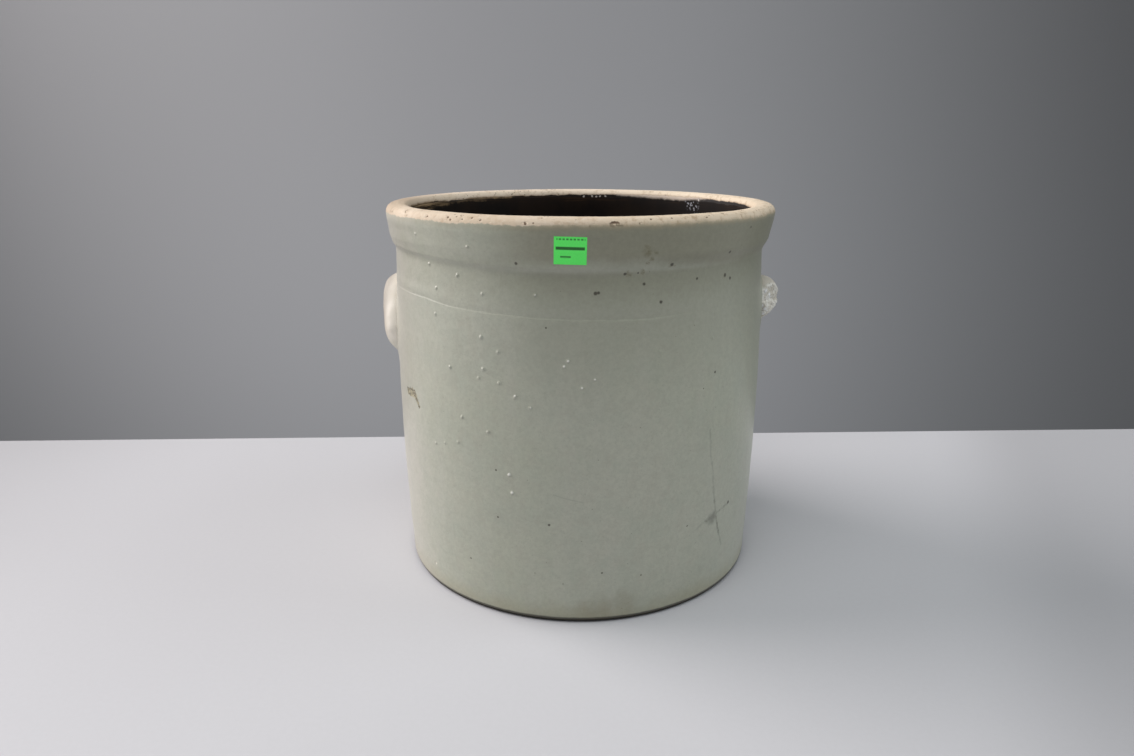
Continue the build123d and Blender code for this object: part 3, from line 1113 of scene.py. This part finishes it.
def creamLug():
    finish = Finish("lug_glaze")
    broad = finish.cloud(70, 3.0)
    grain = finish.cloud(800, 2.0)
    colour = finish.mix(broad.fade(0.35, 0.7), lugTones["cream"], lugTones["greyer"])
    colour.paint(grain.fade(0.55, 0.85) * 0.3, lugTones["grain"])
    keySideDarkened = finish.x.fade(-0.1415, -0.1495)  # painted shade: darker where it stands out towards the key lamp, so that it looks evenly lit
    colour.paint(keySideDarkened * 0.95, lugTones["keySideDarkened"])
    low = finish.height.fade(0.184, 0.170)  # the glaze goes green again at the tips
    colour.paint(low * 0.7, lugTones["tips"])
    specks = finish.cells(210).fade(0.1, 0.05) * finish.cloud(90).fade(0.55, 0.65)
    colour.paint(specks * 0.7, lugTones["speck"])
    relief = finish.cloud(260, 2.0) * 0.5 + grain * 0.1
    return finish.surface({
        "Base Color": colour,
        "Roughness": 0.56 + broad * 0.14,
        "Normal": finish.bump(relief, 0.0004, 0.35),
    })


dress(leftLug, "left_lug", creamLug())


breakMarks = {
    "glassGlints": [(766, 291, 0.0013), (769.3, 294.5, 0.0009), (769.6, 297, 0.0007), (762.2, 306, 0.0010),
              (764.8, 308.6, 0.0009), (761.3, 304, 0.0005), (767, 310.5, 0.0006), (763, 313.5, 0.0009)],
}


breakTones = {
    "glaze": (0.74, 0.68, 0.59), "greyer": (0.66, 0.62, 0.53), "coarse": (0.62, 0.58, 0.49),
    "chalky": (0.88, 0.86, 0.79), "pit": (0.25, 0.22, 0.16), "glintWhite": (0.97, 0.97, 0.95),
}


def brokenLug(piece, middle, facing, marks):
    finish = Finish("broken_lug")
    broad = finish.cloud(90, 3.0)
    grain = finish.cloud(700, 3.0, rough=0.6)
    glaze = finish.mix(broad.fade(0.35, 0.7), breakTones["glaze"], breakTones["greyer"])
    fromFace = finish.vector("SUBTRACT", finish.place, tuple(middle))
    depth = finish.vector("DOT_PRODUCT", fromFace, tuple(facing), outlet=1) + (grain - 0.5) * 0.002
    broken = depth.fade(-0.0030, -0.0020)
    lumpy = finish.cloud(170, 4.0, rough=0.65).fade(0.38, 0.64)
    coarse = finish.mix(lumpy, breakTones["coarse"], breakTones["chalky"])
    pits = finish.cells(300).fade(0.22, 0.1) * finish.cloud(120).fade(0.5, 0.6)
    coarse.paint(pits * 0.6, breakTones["pit"])
    colour = finish.mix(broken, glaze, coarse)
    ragged = finish.ragged(0.0012, 700)
    glassGlints = finish.spots(ragged, seenMarks(piece, marks["glassGlints"]), 1, 0.6)
    colour.paint(glassGlints, breakTones["glintWhite"])  # glassy drops of melted glaze, painted white as highlights where they glint
    return finish.surface({
        "Base Color": colour,
        "Roughness": 0.45 + broken * 0.2 - glassGlints * 0.5,
        "Normal": finish.bump(grain * 0.4 + glassGlints * 1.5 - pits * 0.5, 0.0006, 0.6),
        "Coat Roughness": 0.08,
        "Coat Weight": glassGlints * 0.9,
    })


dress(rightLug, "right_lug", brokenLug(rightLug, breakMiddle, breakFacing, breakMarks))


# paper label

paperLabel = {
    "width": 0.020, "height": 0.017,
    "azimuth": -88.0, "tilt": -1.5,  # degrees
    "drop": 0.0205,  # from the rim top to its middle
    "thick": 0.00012, "glue": 0.00003,
    "from": 0.16,  # it is laid on from this radius
    "cells": (44, 36),
    "dottedEdge": ((0.08, 0.95), (0.88, 0.94)), "dots": 9,  # shares of the width and the height
    "solidRule": ((0.06, 0.94), (0.53, 0.64)), "shortRule": ((0.2, 0.52), (0.25, 0.31)),
    "printSoft": 0.012,
}


def makeLabel(settings):
    angle = math.radians(settings["azimuth"])
    facing = Vector((math.cos(angle), math.sin(angle), 0))
    middle = facing * settings["from"]
    middle.z = rimTop - settings["drop"]
    tilted = Matrix.Rotation(math.radians(settings["tilt"]), 3, "Z")
    turned = facing.to_track_quat("Z", "Y").to_matrix() @ tilted
    fresh()
    across, up = settings["cells"]
    bpy.ops.mesh.primitive_grid_add(x_subdivisions=across, y_subdivisions=up, size=1, location=middle,
                                    rotation=turned.to_euler())
    piece = bpy.context.object
    piece.name = piece.data.name = "paper_label_sheet"
    piece.scale = (settings["width"], settings["height"], 1)
    bpy.ops.object.transform_apply(location=False, rotation=False, scale=True)
    inwards = {"use_project_z": True, "use_negative_direction": True, "use_positive_direction": False}
    wrap = {"target": glazePiece, "wrap_method": "PROJECT", **inwards, "offset": settings["glue"]}
    modify(piece, "stuck on", "SHRINKWRAP", wrap)
    modify(piece, "paper", "SOLIDIFY", {"thickness": settings["thick"], "offset": 1})
    bpy.ops.object.transform_apply(location=True, rotation=True, scale=True)
    bpy.ops.object.shade_smooth_by_angle(angle=math.radians(40))
    return piece


paperTones = {
    "green": (0.11, 0.74, 0.13), "bright": (0.14, 0.82, 0.16), "ink": (0.008, 0.03, 0.01),
    "glow": (0.012, 0.17, 0.018),
}


def greenPaper(settings):
    finish = Finish("green_paper")
    sheet = finish.node("ShaderNodeUVMap", {"uv_map": "UVMap"})
    u = finish.part(sheet, 0)
    v = finish.part(sheet, 1)
    soft = settings["printSoft"]

    def bar(value, start, end):
        return value.fade(start - soft, start + soft) * value.fade(end + soft, end - soft)

    def printed(name):
        across, up = settings[name]
        return bar(v, *up) * bar(u, *across)

    fibre = finish.cloud(2600, 3.0, rough=0.65)
    colour = finish.mix(fibre.fade(0.35, 0.75), paperTones["green"], paperTones["bright"])
    dotted = printed("dottedEdge") * u.math("FRACT", u * settings["dots"]).fade(0.3, 0.42)
    solid = printed("solidRule") * (0.75 + fibre * 0.4)
    ink = (dotted * 0.7).most((solid * 0.92).least(1.0)).most(printed("shortRule") * 0.75)
    colour.paint(ink, paperTones["ink"])
    return finish.surface({
        "Base Color": colour,
        "Roughness": 0.55 + fibre * 0.2,
        "Normal": finish.bump(fibre, 0.0001, 0.4),
        "Emission Color": finish.mix(ink, paperTones["glow"], (0.0, 0.0, 0.0)),  # painted light: the green paper gives off a little light of its own, for fluorescent paper
        "Emission Strength": 1.0,
    })


labelPiece = makeLabel(paperLabel)
dress(labelPiece, "paper_label", greenPaper(paperLabel))


# plain floor and backdrop

stage = {
    "farEdge": [(0, 441), (1134, 429)],  # pixels: where the pale floor ends
    "wide": 8.0, "deep": 4.0, "thick": 0.03,
    "wallBehind": 2.3, "wallHeight": 6.0, "wallBelow": 2,
    "pale": (0.598, 0.597, 0.616), "grey": (0.50, 0.508, 0.525), "fibre": (0.45, 0.45, 0.45),
    # painted shade: the wall darker towards both ends and the top, the floor towards the right and the
    # left
    "wallEnds": [((1, 0, 0), 0.0, 2.1, 0.55), ((-1, 0, 0), 0.9, 2.9, 0.42),
                 ((0, 0, 1), -0.7, 0.9, 0.25)],
    "floorEnds": [((1, -0.3, 0), 0.30, 0.42, 0.20), ((-1, 0, 0), 0.38, 0.75, 0.28)],
}


def studioPaper(name, colour, ends):  # painted shade: it darkens one way, from here to there, by an amount, as the light falls off across the paper
    finish = Finish(name)
    fibre = finish.cloud(300, 3.0)
    tone = finish.mix(fibre.fade(0.3, 0.7) * 0.05, colour, stage["fibre"])
    for way, start, stop, amount in ends:
        shade = finish.vector("DOT_PRODUCT", finish.place, way, outlet=1).fade(start, stop)
        tone.paint(shade * amount, (0, 0, 0))
    return finish.surface({"Base Color": tone, "Roughness": 0.75})


def makeStage(settings):
    left, right = [seenOnFloor(pixel) for pixel in settings["farEdge"]]
    along = (right - left).normalized()
    nearer = Vector((along.y, -along.x, 0))
    middle = (left + right) / 2 + nearer * settings["deep"] / 2
    middle.z = -settings["thick"] / 2
    fresh()
    bpy.ops.mesh.primitive_cube_add(size=1, location=middle, rotation=(0, 0, bearing(along)[0]))
    floor = bpy.context.object
    floor.name = "studio_floor"
    floor.scale = (settings["wide"], settings["deep"], settings["thick"])
    bpy.ops.object.transform_apply(location=True, rotation=True, scale=True)
    floor.data.materials.append(studioPaper("floor_paper", settings["pale"], settings["floorEnds"]))
    fresh()
    wallPlace = (0, settings["wallBehind"], settings["wallHeight"] / 2 - settings["wallBelow"])
    bpy.ops.mesh.primitive_plane_add(size=1, location=wallPlace, rotation=(math.pi / 2, 0, 0))
    wall = bpy.context.object
    wall.name = "studio_wall"
    wall.scale = (settings["wide"], settings["wallHeight"], 1)
    bpy.ops.object.transform_apply(location=True, rotation=True, scale=True)
    wall.data.materials.append(studioPaper("wall_paper", settings["grey"], settings["wallEnds"]))


makeStage(stage)
print("stage set")


# soft studio light

lights = {
    "key": {
        "place": (-3.3, 0.5, 1.8), "aim": (0.4, -1.3, 0.1),
        "size": 3.1, "power": 160, "tint": (1.0, 0.94, 0.935),
    },
    "overhead": {
        "place": (-0.15, -0.75, 1.85), "aim": (0, 0, 0.14),
        "size": 1.3, "power": 13, "tint": (0.98, 0.99, 1),
    },
    "fill": {
        "place": (1.9, 0.2, 1.1), "aim": (0.1, 0, 0),
        "size": 1.4, "power": 12, "tint": (0.93, 0.98, 1.0),
    },
}
roomLight = {"tint": (0.93, 0.98, 1.02), "strength": 0.23}


def addLight(name, settings):
    fresh()
    bpy.ops.object.light_add(type="AREA", location=settings["place"])
    lamp = bpy.context.object
    lamp.name = name
    lamp.data.shape = "DISK"
    lamp.data.size = settings["size"]
    lamp.data.energy = settings["power"]
    lamp.data.color = settings["tint"]
    aim = Vector(settings["aim"]) - lamp.location
    lamp.rotation_euler = aim.to_track_quat("-Z", "Y").to_euler()


for lightName, lightSettings in lights.items():
    addLight(lightName, lightSettings)

world = bpy.data.worlds.new("room")
world.use_nodes = True
background = world.node_tree.nodes["Background"]
background.inputs["Color"].default_value = (*roomLight["tint"], 1.0)
background.inputs["Strength"].default_value = roomLight["strength"]
bpy.context.scene.world = world
bpy.context.scene.view_settings.view_transform = "Standard"
print("lights set")


# the scene brought up to date

bpy.context.view_layer.update()
